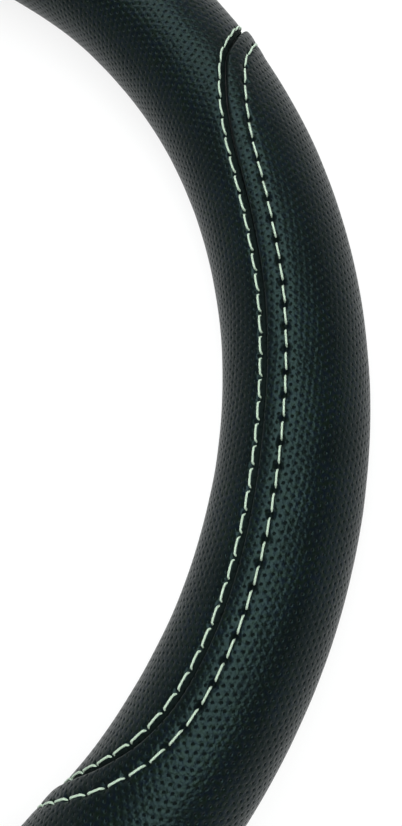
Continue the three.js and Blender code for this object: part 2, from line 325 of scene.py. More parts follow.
class SurfaceLine:
    """A line over the grip's surface, measured by its own length."""

    def __init__(self, grip, clock, around):
        self.grip = grip
        self.clock = np.asarray(clock, float)
        self.around = np.asarray(around, float)
        radius = grip.radius(self.clock)
        reach = grip.ring + radius * np.cos(self.around)
        points = np.stack([reach * np.cos(self.clock), reach * np.sin(self.clock),
                           radius + radius * np.sin(self.around)], axis=-1)
        steps = np.linalg.norm(np.diff(points, axis=0), axis=1)
        self.lengths = np.concatenate([[0.0], np.cumsum(steps)])
        self.length = self.lengths[-1]

    def at(self, distance):
        """The line's clock and around at a distance, and the way across it towards the lower panel."""
        i = np.clip(np.searchsorted(self.lengths, distance), 1, len(self.lengths) - 1)
        share = (distance - self.lengths[i - 1]) / (self.lengths[i] - self.lengths[i - 1])
        d_clock = self.clock[i] - self.clock[i - 1]
        d_around = self.around[i] - self.around[i - 1]
        clock = self.clock[i - 1] + d_clock * share
        around = self.around[i - 1] + d_around * share
        radius = self.grip.radius(clock)
        reach = self.grip.ring + radius * np.cos(around)
        along = d_clock * reach
        over = d_around * radius
        size = np.hypot(along, over)
        return clock, around, -over / size / reach, along / size / radius

    def offset(self, across):
        clock, around, d_clock, d_around = self.at(
            self.length * np.arange(ROUTE_SAMPLES + 1) / ROUTE_SAMPLES)
        return SurfaceLine(self.grip, clock + across * d_clock, around + across * d_around)

    def distance_at(self, around):
        return self.lengths[np.argmax(self.around >= around)]


def catmull_rom(points, samples):
    """A centripetal curve through the points, sampled evenly by span."""
    points = np.asarray(points, float)
    spans = len(points) - 1
    first = 2 * points[0] - points[1]
    last = 2 * points[-1] - points[-2]
    points = np.vstack([first, points, last])
    curve = []
    for k in range(samples + 1):
        place = spans * k / samples
        span = min(int(place), spans - 1)
        t = place - span
        p0, p1, p2, p3 = points[span:span + 4]
        a, b, c = (float(np.dot(q, q)) ** 0.25 for q in (p1 - p0, p2 - p1, p3 - p2))
        start = ((p1 - p0) / a - (p2 - p0) / (a + b) + (p2 - p1) / b) * b
        end = ((p2 - p1) / b - (p3 - p1) / (b + c) + (p3 - p2) / c) * b
        curve.append(p1 + start * t + (-3 * p1 + 3 * p2 - 2 * start - end) * t ** 2
                     + (2 * p1 - 2 * p2 + start + end) * t ** 3)
    return np.array(curve)


def seam_line(grip):
    size = sizes()
    route = [(ROUTE_START_CLOCK, math.degrees(size.back_lip) - ROUTE_OVERRUN), *SEAM_ROUTE,
             (ROUTE_END_CLOCK, math.degrees(size.inner_lip) + ROUTE_OVERRUN)]
    curve = np.radians(catmull_rom(route, ROUTE_SAMPLES))
    return SurfaceLine(grip, curve[:, 0], curve[:, 1])


class StitchRow:
    """One row of stitches beside the seam: where its needle holes are."""

    def __init__(self, seam, across, start, pitch):
        size = sizes()
        self.line = seam.offset(across)
        self.across = across
        self.pitch = pitch
        self.start = self.line.distance_at(size.flat_end) + start
        room = self.line.distance_at(size.inner_lip) - ROW_END_MARGIN - self.start
        self.stitches = int(room / pitch)
        holes = self.start + pitch * np.arange(self.stitches + 1)
        share = np.interp(holes, self.line.lengths, np.arange(ROUTE_SAMPLES + 1)) / ROUTE_SAMPLES
        self.holes_on_seam = share * seam.length


def stitch_rows(seam):
    size = sizes()
    return (StitchRow(seam, -size.upper_row * MM, UPPER_ROW_START, size.upper_pitch * MM),
            StitchRow(seam, size.lower_row * MM, LOWER_ROW_START, size.lower_pitch * MM))


class SeamStrip:
    """The seam carried on over both lips, as stations with the way across them."""

    def __init__(self, grip, seam):
        size = sizes()
        start = np.interp(size.back_lip, seam.around, seam.lengths)
        end = np.interp(size.inner_lip, seam.around, seam.lengths)
        count = int((end - start) / STATION_STEP)
        distance = np.linspace(start, end, count + 1)
        clock, around, d_clock, d_around = seam.at(distance)
        arc = around * grip.grip
        d_arc = d_around * grip.grip
        spare = STRIP_SPARE * grip.beyond
        steps = np.arange(1, int(spare / STATION_STEP) + 1) * STATION_STEP

        def run_on(i, way):
            reach = grip.reach(clock[i], around[i])
            across_u = d_clock[i] * reach
            across_v = d_around[i] * grip.radius(clock[i])
            return clock[i] + way * steps * across_v / reach, arc[i] - way * steps * across_u

        before = run_on(0, -1)
        after = run_on(-1, 1)
        self.distance = np.concatenate([start - steps[::-1], distance, end + steps])
        self.clock = np.concatenate([before[0][::-1], clock, after[0]])
        self.arc = np.concatenate([before[1][::-1], arc, after[1]])
        self.d_clock = np.pad(d_clock, len(steps), mode="edge")
        self.d_arc = np.pad(d_arc, len(steps), mode="edge")

    def row(self, across):
        return self.clock + across * self.d_clock, self.arc + across * self.d_arc


def crossing(clock, arc, level):
    """Where a row crosses an arc level."""
    k = int(np.argmax((arc[:-1] - level) * (arc[1:] - level) <= 0))
    t = (level - arc[k]) / (arc[k + 1] - arc[k])
    return clock[k] + t * (clock[k + 1] - clock[k]), k + t


def evenly(a, b, step):
    count = max(int(round(abs(b - a) / step)), 1)
    return np.linspace(a, b, count + 1)


def within(spots, outline):
    """Which spots lie inside a closed outline."""
    inside = np.zeros(len(spots), bool)
    x, y = spots[:, 0], spots[:, 1]
    for (ax, ay), (bx, by) in zip(outline, np.roll(outline, -1, axis=0)):
        if ay != by:
            crosses = ((ay > y) != (by > y)) & (x < (bx - ax) * (y - ay) / (by - ay) + ax)
            inside ^= crosses
    return inside


class PanelSheet:
    """One leather panel laid out flat: its right half's corners and faces, and each corner's lift."""

    def __init__(self, grip, seam, side, profile, offsets, row, dent, far_clock):
        self.grip = grip
        self.side = side
        self.row = row
        self.dent = dent
        self.far_clock = far_clock
        self.profile = np.array(profile)
        strip = SeamStrip(grip, seam)
        low, high = grip.low_end, grip.high_end
        points, across, along = [], [], []

        def add(clock, arc, a, s):
            points.append((clock * grip.ring, arc))
            across.append(a)
            along.append(s)
            return len(points) - 1

        index = np.arange(len(strip.clock))
        edge_loop, low_edge, high_edge = [], [], []
        for offset in offsets:
            a = side * offset
            clock, arc = strip.row(a)
            low_clock, low_k = crossing(clock, arc, low)
            high_clock, high_k = crossing(clock, arc, high)
            first = add(low_clock, low, a, np.interp(low_k, index, strip.distance))
            inside = (index > low_k) & (index < high_k) & (arc > low + HEM_MARGIN)
            inside &= arc < high - HEM_MARGIN
            middle = [add(clock[k], arc[k], a, strip.distance[k]) for k in index[inside]]
            last = add(high_clock, high, a, np.interp(high_k, index, strip.distance))
            low_edge.append(first)
            high_edge.append(last)
            if offset == offsets[0]:
                edge_loop = [first, *middle, last]
        beyond = side * (offsets[-1] + CELL)
        far = far_clock
        turn = 1.0 if far > 0 else -1.0
        for edge, level in ((low_edge, low), (high_edge, high)):
            for clock in evenly(points[edge[-1]][0] / grip.ring, far, CELL / grip.ring)[1:]:
                edge.append(add(clock, level, beyond, 0.0))
        far_edge = [add(far, arc, beyond, 0.0) for arc in evenly(low, high, CELL)[1:-1]]
        far_corners = {low_edge[-1], high_edge[-1], *far_edge}
        loop = [*edge_loop, *high_edge[1:], *far_edge[::-1], *low_edge[:0:-1]]

        stations = np.stack([strip.clock * grip.ring, strip.arc], axis=1)
        ways = np.stack([strip.d_clock * grip.ring, strip.d_arc], axis=1)
        ways /= np.linalg.norm(ways, axis=1)[:, None]
        row_step = CELL * math.sqrt(3) / 2
        for j, arc in enumerate(np.arange(low + row_step, high - row_step / 2, row_step)):
            start = -math.pi / 2 * grip.ring + (j % 2) * CELL / 2
            u = np.arange(start, math.pi / 2 * grip.ring, CELL)
            spots = np.stack([u, np.full(len(u), arc)], axis=1)
            gaps = spots[:, None, :] - stations[None, :, :]
            nearest = np.argmin((gaps ** 2).sum(axis=2), axis=1)
            pick = np.arange(len(u))
            a = (gaps[pick, nearest] * ways[nearest]).sum(axis=1)
            distance = np.sqrt((gaps[pick, nearest] ** 2).sum(axis=1))
            keep = (a * side > 0) & (distance > offsets[-1] + CELL * STRIP_ROOM)
            keep &= (far * grip.ring - u) * turn > CELL * FAR_ROOM
            for k in pick[keep]:
                add(u[k] / grip.ring, arc, beyond, 0.0)

        edges = [(loop[k], loop[(k + 1) % len(loop)]) for k in range(len(loop))]
        result = delaunay_2d_cdt([Vector(p) for p in points], edges, [], 1, 1e-5, True)
        faces, came_from = result[2:4]
        origin = [ids[0] if ids else -1 for ids in came_from]
        if min(origin) < 0:
            raise RuntimeError("the sheet's outline crosses itself")
        self.u = np.array([points[k][0] for k in origin])
        self.arc = np.array([points[k][1] for k in origin])
        self.across = np.array([across[k] for k in origin])
        self.along = np.array([along[k] for k in origin])
        self.on_far = np.array([k in far_corners for k in origin])
        self.faces = np.array(faces)
        u, v = self.u[self.faces], self.arc[self.faces]
        area = (u[:, 1] - u[:, 0]) * (v[:, 2] - v[:, 0]) - (u[:, 2] - u[:, 0]) * (v[:, 1] - v[:, 0])
        self.faces[area < 0] = self.faces[area < 0][:, ::-1]
        outline = np.array([points[k] for k in loop])
        middles = np.stack([u.mean(axis=1), v.mean(axis=1)], axis=1)
        on_loop = np.isin(np.array(origin)[self.faces], loop).all(axis=1)
        stray = on_loop.copy()
        stray[on_loop] = ~within(middles[on_loop], outline)
        self.faces = self.faces[(np.abs(area) > 1e-7) & ~stray]

    def around_holes(self, reach):
        """For each needle hole the corners near it, and the squares of their distances in spreads."""
        _, spread_along, spread_across = self.dent
        for hole in self.row.holes_on_seam:
            near = np.abs(self.along - hole) < reach * spread_along
            s = (self.along[near] - hole) / spread_along
            w = (self.across[near] - self.row.across) / spread_across
            yield near, s ** 2 + w ** 2

    def shade(self):
        """Painted shade on each corner of the outer face, in the join or by a needle hole, from 0 to 1."""
        wide, faded = UPPER_SHADE if self.side < 0 else LOWER_SHADE
        shade = smooth((faded - np.abs(self.across)) / (faded - wide))
        peak, less = DENT_SHADE
        for near, distance in self.around_holes(3):
            shade[near] = np.maximum(shade[near], smooth(peak * np.exp(-distance) - less))
        return shade

    def lift(self):
        """How far each corner of the outer face stands off the grip."""
        a = np.abs(self.across)
        lift = np.interp(a, self.profile[:, 0], self.profile[:, 1])
        for near, distance in self.around_holes(4):
            lift[near] -= self.dent[0] * np.exp(-distance / 2)
        over = self.grip.past_lip(self.arc)
        inside = 1.0 - smooth((over - self.grip.edge) / (math.pi * self.grip.edge - self.grip.edge))
        lift = lift * (HEM_LIFT + (1.0 - HEM_LIFT) * inside)
        rise = self.grip.rise if self.side > 0 else 0.0
        lift += rise * (1.0 - smooth(over / (math.pi * self.grip.edge)))
        waves = np.array([
            sum(share * noise.noise(Vector((u / long, v / wide, self.side * layer)))
                for long, wide, layer, share in WAVES)
            for u, v in zip(self.u, self.arc)])
        calm = CALM_LEAST + (1.0 - CALM_LEAST) * smooth((a - CALM_START) / CALM_WIDTH)
        return lift + WAVE_HEIGHT * waves * calm * (1.0 - smooth(over / self.grip.edge))


def closed_sheet(sheet):
    """The panel's whole mesh: outer face, inner face and walls, for both halves of the ring."""
    grip = sheet.grip
    clock = sheet.u / grip.ring
    outer = grip.place(clock, sheet.arc, sheet.lift())
    inner = grip.place(clock, sheet.arc, np.full(len(clock), -grip.leather))
    count = len(clock)
    on_far = sheet.on_far
    outer[on_far, 0] = 0.0
    inner[on_far, 0] = 0.0

    sides = {}
    for face in sheet.faces:
        for k in range(3):
            a, b = int(face[k]), int(face[(k + 1) % 3])
            if (b, a) in sides:
                del sides[(b, a)]
            else:
                sides[(a, b)] = True
    walls = np.array([(a, b) for a, b in sides if not (on_far[a] and on_far[b])])
    half = np.concatenate([
        sheet.faces,
        sheet.faces[:, ::-1] + count,
        np.stack([walls[:, 1], walls[:, 0], walls[:, 0] + count], axis=1),
        np.stack([walls[:, 1], walls[:, 0] + count, walls[:, 1] + count], axis=1),
    ])
    is_outer = np.zeros(len(half), bool)
    is_outer[:len(sheet.faces)] = True
    points = np.concatenate([outer, inner])
    twin = np.arange(2 * count)
    others = np.nonzero(~np.tile(on_far, 2))[0]
    twin[others] = 2 * count + np.arange(len(others))
    mirrored = points[others] * np.array([-1.0, 1.0, 1.0])
    faces = np.concatenate([half, twin[half][:, ::-1]])

    # Distance along the hide from 12 or 6 o'clock, going on past it, and outwards across it.
    along = np.tile(sheet.u - sheet.far_clock * grip.ring, 2)
    out = np.tile(grip.grip * math.pi / 2 - sheet.arc, 2)
    run = np.concatenate([along, -along[others]])
    width = np.concatenate([out, out[others]])
    # Only the outer face gets painted shade, at the join and by the needle holes.
    shade = np.concatenate([sheet.shade(), np.zeros(count)])
    shade = np.concatenate([shade, shade[others]])
    return np.concatenate([points, mirrored]), faces, run, width, shade, np.tile(is_outer, 2)


def new_piece(name, points, faces, material, replaced):
    """A smooth mesh piece in metres that rides on the cover and stands for a CAD node."""
    mesh = bpy.data.meshes.new(name)
    mesh.from_pydata((points / MM).tolist(), [], faces.tolist() if hasattr(faces, "tolist") else faces)
    mesh.validate()
    mesh.polygons.foreach_set("use_smooth", np.ones(len(mesh.polygons), bool))
    mesh.materials.append(material)
    mesh.update()
    piece = bpy.data.objects.new(name, mesh)
    bpy.context.scene.collection.objects.link(piece)
    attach(piece, "root")
    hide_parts(replaced)
    return piece


def lay_out_hide(piece, run, width, outside, lattice, faces):
    """Stores where each corner is on the perforated hide, and lays the panel's strips side by side."""
    mesh = piece.data
    (ax, ay), (bx, by) = lattice
    size = ax * by - ay * bx
    i = (run * by - width * bx) / size
    j = (width * ax - run * ay) / size
    hide = mesh.attributes.new("hide", "FLOAT_VECTOR", "POINT")
    spots = np.stack([i + j / 2, j * math.sqrt(3) / 2, np.zeros(len(i))], axis=1)
    hide.data.foreach_set("vector", spots.astype(np.float32).ravel())

    # The outer face lies in blocks under each other, and what is hidden in a thin strip over them.
    low, high = run.min(), run.max()
    block_length = (high - low) / BAKE_BLOCKS
    pad = CELL * 2
    tall = width.max() - width.min() + pad
    total = max(block_length + 2 * pad, BAKE_BLOCKS * tall) * BAKE_SPARE
    corner_run = run[faces]
    block = np.clip(((corner_run.mean(axis=1) - low) / block_length).astype(int), 0, BAKE_BLOCKS - 1)
    x = corner_run - low - (block * block_length)[:, None] + pad
    y = width[faces] - width.min() + (block * tall)[:, None] + pad / 2
    hidden = ~outside
    x[hidden] = x[hidden] * HIDDEN_LENGTH
    y[hidden] = total * HIDDEN_START + y[hidden] * HIDDEN_HEIGHT
    uv = mesh.uv_layers.new(name="OFBake")
    pairs = np.stack([x / total, y / total], axis=-1)
    uv.data.foreach_set("uv", pairs.astype(np.float32).ravel())


# Shader groups and materials.

def new_group(name, inputs, outputs):
    tree = bpy.data.node_groups.new(name, "ShaderNodeTree")
    for label, kind, value in inputs:
        socket = tree.interface.new_socket(name=label, in_out="INPUT", socket_type=kind)
        if value is not None:
            socket.default_value = value
    for label in outputs:
        tree.interface.new_socket(name=label, in_out="OUTPUT", socket_type="NodeSocketFloat")
    return tree, tree.nodes.new("NodeGroupInput").outputs, tree.nodes.new("NodeGroupOutput")


def feed(tree, node, inputs):
    """Links each input from a socket, or sets it to a value."""
    for key, value in inputs.items():
        if isinstance(value, bpy.types.NodeSocket):
            tree.links.new(value, node.inputs[key])
        else:
            node.inputs[key].default_value = value


def add_node(tree, kind, inputs=None, **settings):
    made = tree.nodes.new(kind)
    for key, value in settings.items():
        setattr(made, key, value)
    feed(tree, made, inputs or {})
    return made


def maths(tree, operation, a, b=0.0, c=0.0, clamp=False):
    return add_node(tree, "ShaderNodeMath", {0: a, 1: b, 2: c}, operation=operation,
                    use_clamp=clamp).outputs[0]


def vector_maths(tree, operation, inputs, output="Vector"):
    return add_node(tree, "ShaderNodeVectorMath", inputs, operation=operation).outputs[output]


def ramp(tree, value, from_low, from_high, to_low, to_high):
    return add_node(tree, "ShaderNodeMapRange", {
        "Value": value, "From Min": from_low, "From Max": from_high, "To Min": to_low, "To Max": to_high,
    }, interpolation_type="SMOOTHSTEP").outputs["Result"]


def mixed(tree, factor, a, b):
    return add_node(tree, "ShaderNodeMix", {0: factor, 6: a, 7: b}, data_type="RGBA").outputs[2]


def clouds(tree, where, scale, detail=2.0, roughness=0.5):
    return add_node(tree, "ShaderNodeTexNoise", {
        "Vector": where, "Scale": scale, "Detail": detail, "Roughness": roughness}).outputs


def attribute(tree, name, output):
    return add_node(tree, "ShaderNodeAttribute", attribute_name=name).outputs[output]


def bumped(tree, height, distance, strength):
    return add_node(tree, "ShaderNodeBump", {
        "Height": height, "Distance": distance, "Strength": strength}).outputs["Normal"]


def perforation_group(name):
    """Round holes on a lattice of unit pitch. Hole is 1 inside, Depth sinks softly towards the middle,
    and Dimple sinks a little all round it."""
    tree, enter, leave = new_group(name, [
        ("Vector", "NodeSocketVector", None), ("Radius", "NodeSocketFloat", 0.2),
        ("Softness", "NodeSocketFloat", 0.05), ("Wobble", "NodeSocketFloat", 0.05),
    ], ("Hole", "Depth", "Dimple"))
    where = enter["Vector"]
    centred = vector_maths(tree, "SUBTRACT", {0: clouds(tree, where, 0.55)["Color"], 1: (0.5, 0.5, 0.5)})
    shift = vector_maths(tree, "SCALE", {0: centred, "Scale": enter["Wobble"]})
    place = vector_maths(tree, "ADD", {0: where, 1: shift})
    flat = vector_maths(tree, "MULTIPLY", {0: place, 1: (1.0, 1.0, 0.0)})
    half = (0.5, math.sqrt(3) / 2, 1.0)
    lengths = []
    for offset in ((0.0, 0.0, 0.0), (0.5, math.sqrt(3) / 2, 0.0)):
        moved = vector_maths(tree, "ADD", {0: flat, 1: offset})
        cell = vector_maths(tree, "WRAP", {0: moved, 1: half, 2: tuple(-h for h in half)})
        lengths.append(vector_maths(tree, "LENGTH", {0: cell}, "Value"))
    distance = maths(tree, "MINIMUM", *lengths)
    inner = maths(tree, "SUBTRACT", enter["Radius"], enter["Softness"])
    outer = maths(tree, "ADD", enter["Radius"], enter["Softness"])
    foot = maths(tree, "MULTIPLY", outer, 1.35)
    feed(tree, leave, {
        "Hole": ramp(tree, distance, inner, outer, 1.0, 0.0),
        "Depth": ramp(tree, distance, 0.0, foot, 1.0, 0.0),
        "Dimple": ramp(tree, distance, 0.12, 0.56, 1.0, 0.0),
    })
    return tree


def grain_group(name):
    """Leather grain: small rounded cells with creases between them, over fine pores."""
    tree, enter, leave = new_group(name, [
        ("Vector", "NodeSocketVector", None), ("Scale", "NodeSocketFloat", 1500.0),
    ], ("Height", "Pores"))
    where, scale = enter["Vector"], enter["Scale"]
    shift = vector_maths(tree, "SCALE", {0: clouds(tree, where, 420.0)["Color"], "Scale": 0.0007})
    place = vector_maths(tree, "ADD", {0: where, 1: shift})
    cells = add_node(tree, "ShaderNodeTexVoronoi", {"Vector": place, "Scale": scale}, feature="SMOOTH_F1")
    pores = clouds(tree, where, maths(tree, "MULTIPLY", scale, 2.3), 3.0, 0.65)["Fac"]
    body = ramp(tree, cells.outputs["Distance"], 0.1, 0.75, 1.0, 0.0)
    feed(tree, leave, {"Height": maths(tree, "MULTIPLY_ADD", pores, 0.55, body), "Pores": pores})
    return tree


def drift_group(name):
    """Slow drift of a finish over the surface, and a finer mottle."""
    tree, enter, leave = new_group(name, [
        ("Vector", "NodeSocketVector", None), ("Scale", "NodeSocketFloat", 60.0),
    ], ("Drift", "Mottle"))
    where, scale = enter["Vector"], enter["Scale"]
    slow = clouds(tree, where, scale, 3.0)["Fac"]
    fine = clouds(tree, where, maths(tree, "MULTIPLY", scale, 12.0))["Fac"]
    feed(tree, leave, {
        "Drift": ramp(tree, slow, 0.3, 0.7, 0.0, 1.0), "Mottle": ramp(tree, fine, 0.32, 0.68, 0.0, 1.0)})
    return tree


def use_group(tree, name, build, inputs):
    group = bpy.data.node_groups.get(name) or build(name)
    return add_node(tree, "ShaderNodeGroup", inputs, node_tree=group).outputs


def new_material(name):
    material = bpy.data.materials.new(name)
    material.use_nodes = True
    tree = material.node_tree
    tree.nodes.clear()
    shader = tree.nodes.new("ShaderNodeBsdfPrincipled")
    output = tree.nodes.new("ShaderNodeOutputMaterial")
    tree.links.new(shader.outputs[0], output.inputs["Surface"])
    where = tree.nodes.new("ShaderNodeTexCoord").outputs["Object"]
    return material, tree, shader, where


def leather_material(hole_radius):
    """Black perforated leather with a soft gloss, and painted shade in its holes, join and needle dents."""
    paint = colours()
    material, tree, shader, where = new_material("Perforated leather")
    holes = use_group(tree, "Perforation", perforation_group, {
        "Vector": attribute(tree, "hide", "Vector"), "Radius": hole_radius, "Softness": 0.05,
        "Wobble": 0.16})
    grain = use_group(tree, "Leather grain", grain_group, {"Vector": where, "Scale": 1500.0})
    drift = use_group(tree, "Colour drift", drift_group, {"Vector": where, "Scale": 75.0})
    tint = mixed(tree, drift["Mottle"], tuple(paint.leather_warm), tuple(paint.leather_cool))
    plain = mixed(tree, ramp(tree, drift["Drift"], 0.0, 1.0, 0.35, 0.95), tuple(paint.leather), tint)
    # Painted shade: the holes, the join and the needle dents take the hole colour and more roughness.
    shaded = maths(tree, "MAXIMUM", holes["Hole"], attribute(tree, "shade", "Fac"))
    rough = ramp(tree, grain["Pores"], 0.3, 0.75, 0.3, 0.43)
    sunk = maths(tree, "MULTIPLY", holes["Depth"], -HOLE_DEPTH)
    sunk = maths(tree, "MULTIPLY_ADD", holes["Dimple"], -DIMPLE_DEPTH, sunk)
    height = maths(tree, "MULTIPLY_ADD", grain["Height"], GRAIN_DEPTH, sunk)
    feed(tree, shader, {
        "Base Color": mixed(tree, shaded, plain, tuple(paint.hole)),
        "Roughness": maths(tree, "MULTIPLY_ADD", shaded, 0.45, rough, clamp=True),
        "Normal": bumped(tree, height, 0.001, 1.0),
        "IOR": LEATHER_IOR,
        "Specular Tint": tuple(paint.gloss),
    })
    return material


def thread_material():
    """Pale twisted sewing thread, with painted shade between its plies."""
    paint = colours()
    material, tree, shader, where = new_material("Sewing thread")
    ply = attribute(tree, "ply", "Fac")
    fibres = clouds(tree, where, 5200.0)["Fac"]
    drift = use_group(tree, "Colour drift", drift_group, {"Vector": where, "Scale": 160.0})
    # Fibres and drift give the thread's own tone; the dip between the plies is painted shade.
    shade = maths(tree, "MULTIPLY", ramp(tree, fibres, 0.35, 0.7, 0.72, 1.0),
                  ramp(tree, ply, 0.0, 1.0, 0.35, 1.0), clamp=True)
    shade = maths(tree, "MULTIPLY", shade, ramp(tree, drift["Drift"], 0.0, 1.0, 0.82, 1.0))
    feed(tree, shader, {
        "Base Color": mixed(tree, shade, tuple(paint.thread_tone_and_painted_shade), tuple(paint.thread)),
        "Roughness": ramp(tree, fibres, 0.3, 0.7, 0.5, 0.7),
        "Normal": bumped(tree, fibres, 0.00006, 0.8),
        "Sheen Weight": 0.15,
    })
    return material


def rubber_material():
    """Matt moulded rubber with a dusty bloom."""
    paint = colours()
    material, tree, shader, where = new_material("Moulded rubber")
    drift = use_group(tree, "Colour drift", drift_group, {"Vector": where, "Scale": 110.0})
    bloom = tuple(v * BLOOM for v in paint.rubber[:3]) + (1.0,)
    amount = ramp(tree, drift["Drift"], 0.0, 1.0, 0.0, 0.7)
    feed(tree, shader, {
        "Base Color": mixed(tree, amount, tuple(paint.rubber), bloom),
        "Roughness": ramp(tree, drift["Mottle"], 0.0, 1.0, 0.62, 0.82),
        "Normal": bumped(tree, clouds(tree, where, 2600.0, 3.0)["Fac"], 0.00004, 0.7),
    })
    return material


class COVER_OT_rubber_ring(Operator):
    """Makes the moulded rubber ring with its round lips and inner ribs"""

    bl_idname = "cover.rubber_ring"
    bl_label = "Rubber ring"

    def execute(self, context):
        grip = Grip()
        size = sizes()
        outside = grip.leather + grip.gap
        inside = outside + grip.rubber
        middle, half = (outside + inside) / 2, grip.rubber / 2
        section = []
        around = np.radians(np.arange(math.degrees(size.back_lip), math.degrees(size.inner_lip) + 0.1,
                                      SECTION_STEP))
        around[-1] = size.inner_lip
        section += [(a, 0.0, outside) for a in around]
        turns = np.linspace(0, math.pi, LIP_STEPS + 1)[1:-1]
        section += [(size.inner_lip, half * math.sin(t), middle - half * math.cos(t)) for t in turns]
        ribs = np.radians(RIB_ANGLES)
        for a in around[::-1]:
            near = np.min(np.abs(ribs - a)) / math.radians(RIB_SPREAD)
            rib = size.rib_height * MM * (1.0 - float(smooth(near)))
            section.append((a, 0.0, inside + rib))
        section += [(size.back_lip, -half * math.sin(t), middle + half * math.cos(t)) for t in turns]
        at, past, depth = (np.array(v) for v in zip(*section))
        sides = len(section)
        rings = []
        for k in range(RING_STATIONS):
            clock = 2 * math.pi * k / RING_STATIONS
            radius = grip.radius(clock)
            out = radius - depth
            turned = at + past / out
            reach = grip.ring + out * np.cos(turned)
            rings.append(np.stack([
                reach * math.cos(clock), reach * math.sin(clock) + grip.centre_y,
                radius - grip.flat + out * np.sin(turned)], axis=1))
        faces = []
        for k in range(RING_STATIONS):
            here, there = k * sides, (k + 1) % RING_STATIONS * sides
            for j in range(sides):
                n = (j + 1) % sides
                faces.append((here + j, there + j, there + n, here + n))
        new_piece("rubber_ring", np.concatenate(rings), np.array(faces), rubber_material(),
                  "rubber_liner")
        return {"FINISHED"}


class COVER_OT_leather_panels(Operator):
    """Makes the two leather panels, with rolled edges, needle dents and perforation"""

    bl_idname = "cover.leather_panels"
    bl_label = "Leather panels"

    def execute(self, context):
        size = sizes()
        grip = Grip()
        seam = seam_line(grip)
        rows = stitch_rows(seam)
        plans = [
            ("upper_leather", "upper_panel", -1, UPPER_PROFILE, UPPER_OFFSETS, rows[0], UPPER_DENT,
             math.pi / 2, UPPER_LATTICE),
            ("lower_leather", "lower_panel", 1, LOWER_PROFILE, LOWER_OFFSETS, rows[1], LOWER_DENT,
             -math.pi / 2, LOWER_LATTICE),
        ]
        material = leather_material(size.hole * MM / 2 / PERFORATION_PITCH)
        for name, node, side, profile, offsets, row, dent, far, lattice in plans:
            sheet = PanelSheet(grip, seam, side, profile, offsets, row, dent, far)
            points, faces, run, width, shade, outside = closed_sheet(sheet)
            piece = new_piece(name, points, faces, material, node)
            if len(piece.data.polygons) != len(faces):
                raise RuntimeError(f"{name} lost faces")
            lay_out_hide(piece, run, width, outside, lattice, faces)
            # The outer face's painted shade at the join and by the needle holes.
            shaded = piece.data.attributes.new("shade", "FLOAT", "POINT")
            shaded.data.foreach_set("value", shade.astype(np.float32))
        return {"FINISHED"}


def thread_points(row, lift, crown, dip, hidden, slant, bow, mirror):
    """A three-ply thread that arches over each stitch and dives into each needle hole."""
    size = sizes()
    radius = size.thread_radius * MM
    grip = row.line.grip
    run = row.stitches * row.pitch
    distance = np.linspace(0.0, run, int(run / THREAD_STEP) + 1)
    phase = (distance / row.pitch) % 1.0
    to_hole = np.minimum(phase, 1.0 - phase) * row.pitch
    show = smooth(to_hole / hidden)
    swing = np.sin(np.pi * np.clip((phase - 0.5) / SLANT_SHARE, -0.5, 0.5))
    swing *= smooth(to_hole / SLANT_FADE)
    height = lift - dip + (crown + dip) * show
    aside = slant * swing - bow * np.sin(np.pi * phase) * show
    clock, around, d_clock, d_around = row.line.at(row.start + distance)
    middle = grip.place(clock + aside * d_clock, (around + aside * d_around) * grip.grip, height)
    if mirror:
        middle = middle * np.array([-1.0, 1.0, 1.0])
    ahead = np.gradient(middle, axis=0)
    ahead /= np.linalg.norm(ahead, axis=1)[:, None]
    up = grip.place(clock, around * grip.grip, 1.0) - grip.place(clock, around * grip.grip, 0.0)
    if mirror:
        up = up * np.array([-1.0, 1.0, 1.0])
    aside_way = np.cross(ahead, up)
    aside_way /= np.linalg.norm(aside_way, axis=1)[:, None]
    up = np.cross(aside_way, ahead)
    angles = 2 * math.pi * np.arange(THREAD_SIDES) / THREAD_SIDES
    twist = 2 * math.pi * distance / THREAD_TWIST
    plies = np.cos(THREAD_PLIES * (angles[None, :] - twist[:, None]))
    out = radius * (THREAD_MIDDLE + PLY_SWING * plies)
    points = (middle[:, None, :]
              + (out * np.cos(angles))[:, :, None] * aside_way[:, None, :]
              + (out * np.sin(angles))[:, :, None] * up[:, None, :])
    return points, 0.5 + 0.5 * plies


class COVER_OT_stitches(Operator):
    """Sews the four rows of pale thread beside the two seams"""

    bl_idname = "cover.stitches"
    bl_label = "Stitches"

    def execute(self, context):
        grip = Grip()
        seam = seam_line(grip)
        upper, lower = stitch_rows(seam)
        material = thread_material()
        for side, mirror in (("right", False), ("left", True)):
            for level, row, facts in (("upper", upper, UPPER_THREAD), ("lower", lower, LOWER_THREAD)):
                points, plies = thread_points(row, *facts, mirror)
                rings, sides = points.shape[:2]
                faces = []
                for k in range(rings - 1):
                    for j in range(sides):
                        n = (j + 1) % sides
                        quad = (k * sides + j, k * sides + n, (k + 1) * sides + n, (k + 1) * sides + j)
                        faces.append(quad if mirror else quad[::-1])
                first = tuple(range(sides))
                last = tuple((rings - 1) * sides + j for j in range(sides))
                faces += [first, last[::-1]] if not mirror else [first[::-1], last]
                piece = new_piece(f"{side}_{level}_stitches", points.reshape(-1, 3), faces, material,
                                  f"{side}_seam_{level}_thread")
                ply = piece.data.attributes.new("ply", "FLOAT", "POINT")
                ply.data.foreach_set("value", plies.astype(np.float32).ravel())
        return {"FINISHED"}


